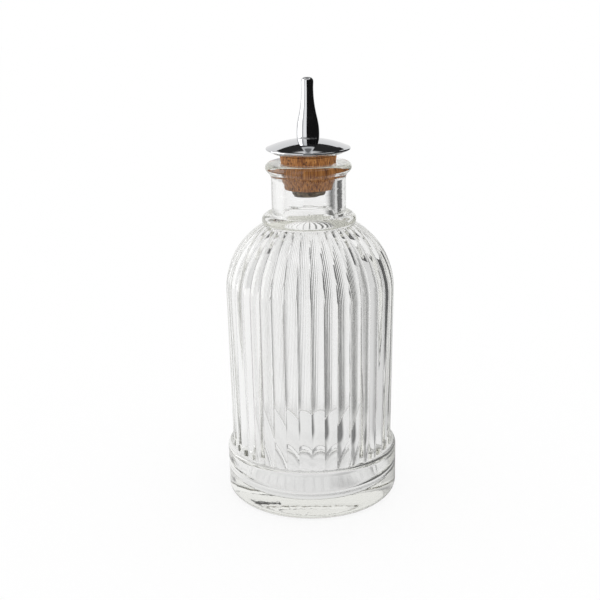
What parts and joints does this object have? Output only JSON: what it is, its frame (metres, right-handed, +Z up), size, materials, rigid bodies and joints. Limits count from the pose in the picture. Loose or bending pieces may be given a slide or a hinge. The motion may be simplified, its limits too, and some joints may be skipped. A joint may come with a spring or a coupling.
{
  "type": "bitters bottle",
  "caption": "Clear glass bitters bottle with a fluted wall and round shoulder, closed by a cork that carries a domed chrome disc and a slim dasher spout for shaking out drops.",
  "frame": {"origin": "centre of the foot, on the plane that the bottle stands on", "axes": "+Z up along the axis of the bottle, -Y towards the viewer of the picture, +X to the viewer's right"},
  "size_m": [0.067, 0.067, 0.162],
  "materials": {
    "clear_glass": "clear and polished",
    "cork": "natural cork",
    "chrome": "mirror polished",
    "plain_steel": "plain turned"
  },
  "bodies": {
    "bottle": {"glass_bottle": "clear_glass"},
    "stopper": {"cork_stopper": "cork", "dasher_disc": "chrome", "dasher_spout": "chrome", "stem_tube": "plain_steel", "retaining_nut": "plain_steel"}
  },
  "joints": [
    {"name": "stopper_lift", "type": "slide", "parent": "bottle", "child": "stopper", "axis": [0, 0, 1], "range_m": [0, 0.045]}
  ]
}
